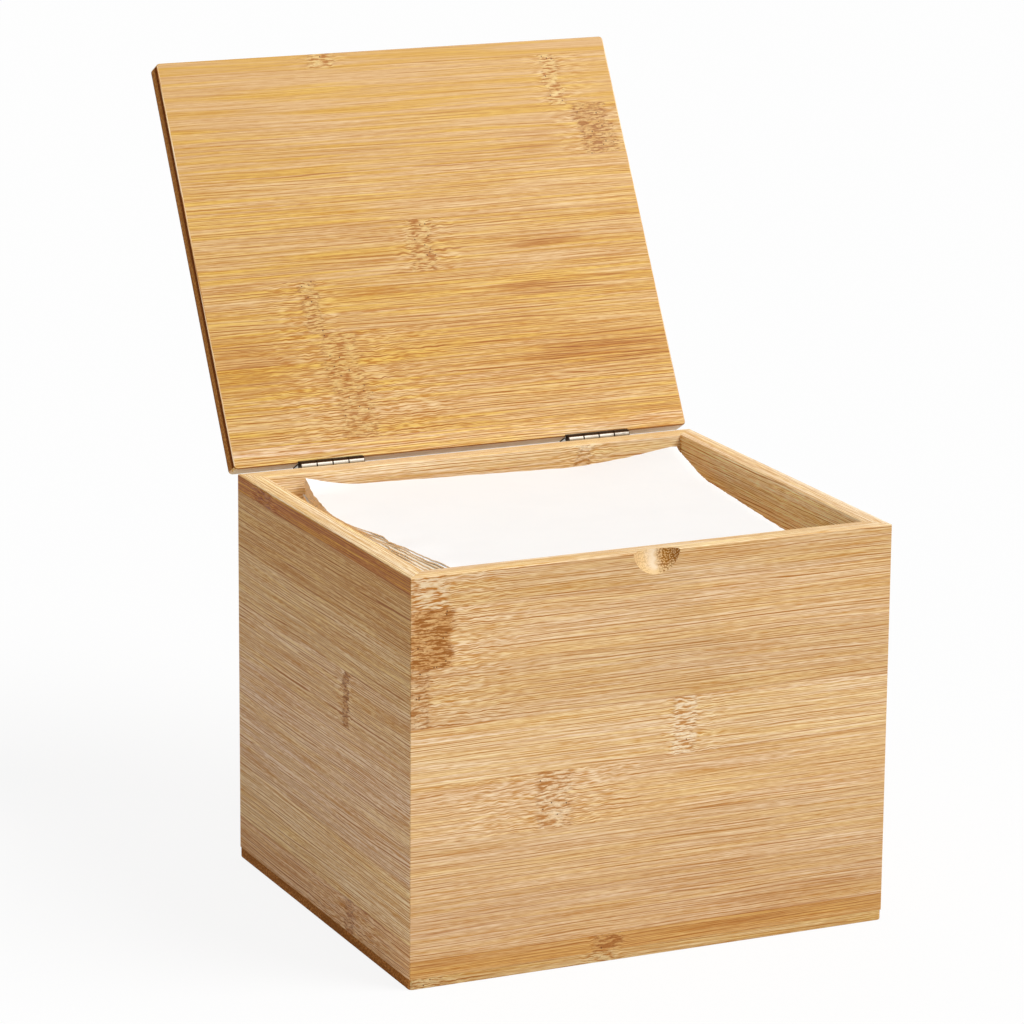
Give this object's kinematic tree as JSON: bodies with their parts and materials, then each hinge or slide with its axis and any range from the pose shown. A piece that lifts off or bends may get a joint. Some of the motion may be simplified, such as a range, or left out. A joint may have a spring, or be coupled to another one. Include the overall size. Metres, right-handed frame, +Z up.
{
  "type": "lidded tissue box",
  "caption": "Bamboo tissue box with mitred walls on a base board, a finger scoop, and a full-size lid leaning open on two small butt hinges, holding folded tissues.",
  "frame": {"origin": "middle of the underside of the base board, where the box stands", "axes": "+X to the right along the front wall, +Y from the front wall to the back wall, +Z up"},
  "size_m": [0.185, 0.2445, 0.2862],
  "materials": {
    "bamboo": "satin",
    "hinge_metal": "satin",
    "screw_metal": "satin",
    "tissue": "matte"
  },
  "bodies": {
    "box": {"base_board": "bamboo", "front_wall": "bamboo", "back_wall": "bamboo", "left_wall": "bamboo", "right_wall": "bamboo", "tissue_stack": "tissue", "top_tissue": "tissue", "left_hinge_wall_leaf": "hinge_metal", "left_hinge_pin": "screw_metal", "left_hinge_wall_screw_1": "screw_metal", "left_hinge_wall_screw_2": "screw_metal", "right_hinge_wall_leaf": "hinge_metal", "right_hinge_pin": "screw_metal", "right_hinge_wall_screw_1": "screw_metal", "right_hinge_wall_screw_2": "screw_metal"},
    "lid": {"lid_board": "bamboo", "left_hinge_lid_leaf": "hinge_metal", "left_hinge_lid_screw_1": "screw_metal", "left_hinge_lid_screw_2": "screw_metal", "right_hinge_lid_leaf": "hinge_metal", "right_hinge_lid_screw_1": "screw_metal", "right_hinge_lid_screw_2": "screw_metal"}
  },
  "joints": [
    {"name": "lid_hinge", "type": "hinge", "parent": "box", "child": "lid", "pos_m": [0, 0.081, 0.147], "axis": [1, 0, 0], "range_deg": [0, 119.3]}
  ]
}
